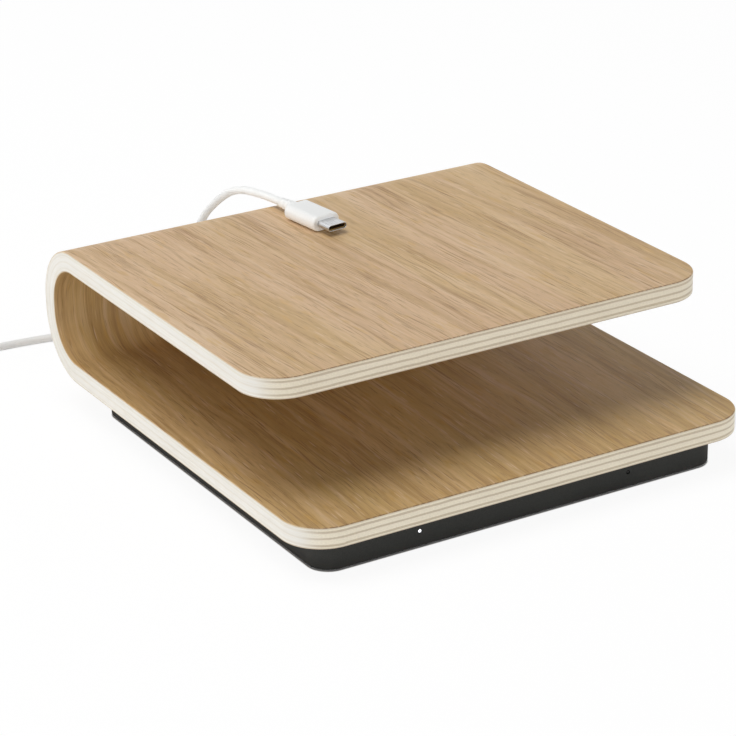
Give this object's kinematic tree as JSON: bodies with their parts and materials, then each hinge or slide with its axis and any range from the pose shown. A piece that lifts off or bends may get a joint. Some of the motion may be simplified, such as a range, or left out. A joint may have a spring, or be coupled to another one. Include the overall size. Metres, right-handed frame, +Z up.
{
  "type": "wireless charger",
  "caption": "Bent plywood desk charging shelf on a low black base, with charging positions side by side on the lower deck, status lights, and white plug-in leads.",
  "frame": {"origin": "on the table, under the middle of the shell's footprint", "axes": "+Z up; -Y towards the open front of the shelf; +X to the right of someone who faces that front"},
  "size_m": [0.25, 0.2463, 0.0674],
  "materials": {
    "oak": "oiled oak veneer",
    "birch": "clear-sealed birch plywood edge",
    "black_plastic": "fine moulded grain",
    "rubber": "plain",
    "steel": "plated steel",
    "circuit_board": "solder mask",
    "chip_resin": "moulded resin",
    "capacitor_film": "dipped",
    "copper": "enamelled copper wire",
    "ferrite": "sintered",
    "foam": "closed-cell foam",
    "light_guide": "clear",
    "led": "lamp package",
    "ribbon_sleeve": "plain",
    "white_sleeve": "smooth white"
  },
  "bodies": {
    "charger": {"oak_veneer_outer": "oak", "birch_ply_core": "birch", "oak_veneer_inner": "oak", "base_tray": "black_plastic", "rubber_foot_front_left": "rubber", "rubber_foot_front_right": "rubber", "rubber_foot_rear_left": "rubber", "rubber_foot_rear_right": "rubber", "case_screw_front_left": "steel", "case_screw_front_right": "steel", "case_screw_rear_left": "steel", "case_screw_rear_right": "steel", "main_board": "circuit_board", "board_screw_front_left": "steel", "board_screw_front_right": "steel", "board_screw_rear_left": "steel", "board_screw_rear_right": "steel", "usb_input_socket": "steel", "usb_input_tongue": "chip_resin", "usb_output_socket": "steel", "usb_output_tongue": "chip_resin", "charge_controller": "chip_resin", "coil_driver_left": "chip_resin", "coil_driver_right": "chip_resin", "resonant_capacitor_left": "capacitor_film", "resonant_capacitor_right": "capacitor_film", "light_board": "circuit_board", "status_led_left": "led", "status_led_right": "led", "light_guide_left": "light_guide", "light_guide_right": "light_guide", "light_ribbon_cable": "ribbon_sleeve", "charging_coil_left": "copper", "charging_coil_right": "copper", "ferrite_shield_left": "ferrite", "ferrite_shield_right": "ferrite", "foam_pad_left": "foam", "foam_pad_right": "foam", "coil_leads_left": "copper", "coil_leads_right": "copper"},
    "power_lead": {"power_plug_shell": "steel", "power_plug_grip": "white_sleeve", "power_plug_relief": "white_sleeve", "power_cord": "white_sleeve", "power_cord_coil": "white_sleeve", "power_end_relief": "white_sleeve", "power_end_grip": "white_sleeve", "power_end_shell": "steel"},
    "device_lead": {"device_plug_shell": "steel", "device_plug_grip": "white_sleeve", "device_plug_relief": "white_sleeve", "device_cord": "white_sleeve", "device_tip_relief": "white_sleeve", "device_tip_grip": "white_sleeve", "device_tip_shell": "steel"}
  },
  "joints": [
    {"name": "power_plug_slide", "type": "slide", "parent": "charger", "child": "power_lead", "axis": [0, 1, 0], "range_m": [0, 0.008]},
    {"name": "device_plug_slide", "type": "slide", "parent": "charger", "child": "device_lead", "axis": [0, 1, 0], "range_m": [0, 0.008]}
  ]
}
